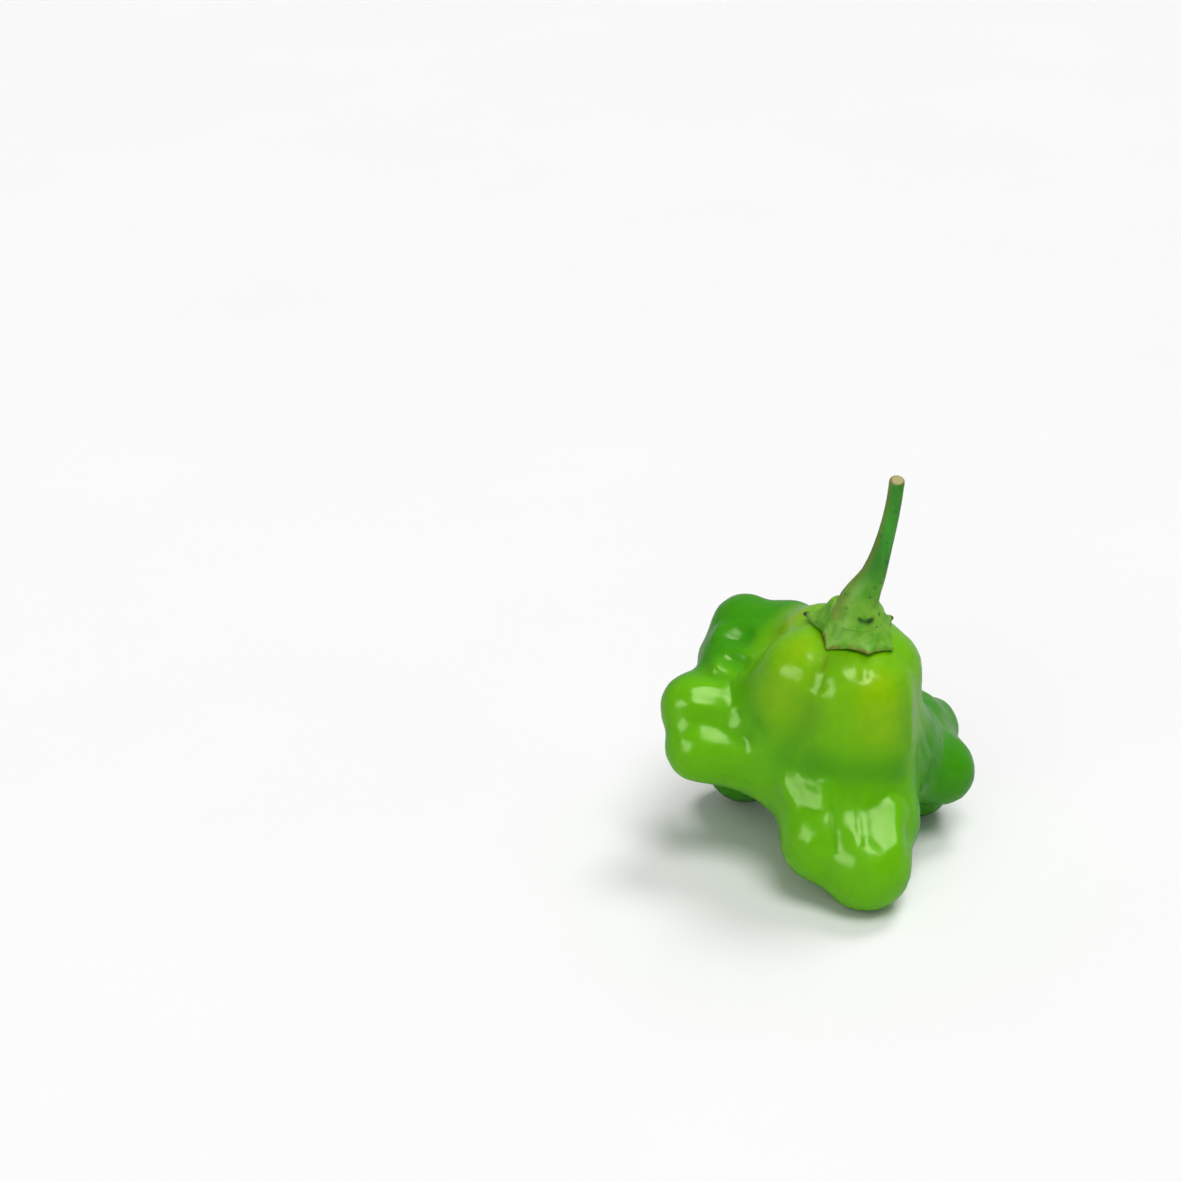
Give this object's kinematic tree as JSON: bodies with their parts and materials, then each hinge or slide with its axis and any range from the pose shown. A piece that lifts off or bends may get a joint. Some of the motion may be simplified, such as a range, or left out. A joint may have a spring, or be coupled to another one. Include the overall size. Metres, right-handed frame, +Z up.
{
  "type": "chilli pepper",
  "caption": "Lobed green chilli pod with a ribbed dome, a leafy calyx and a bent cut stem, lying on its lobes as picked.",
  "frame": {"origin": "on the table, under the middle of the pepper's bounding box", "axes": "+Z up from the table, -Y towards the lobe that points at the viewer, +X towards the lobe on the viewer's right"},
  "size_m": [0.0746, 0.0702, 0.1],
  "materials": {
    "pod_skin": "gloss",
    "calyx_skin": "satin",
    "stem_skin": "satin"
  },
  "bodies": {
    "root": {"pod": "pod_skin", "calyx": "calyx_skin", "stem": "stem_skin"}
  },
  "joints": []
}
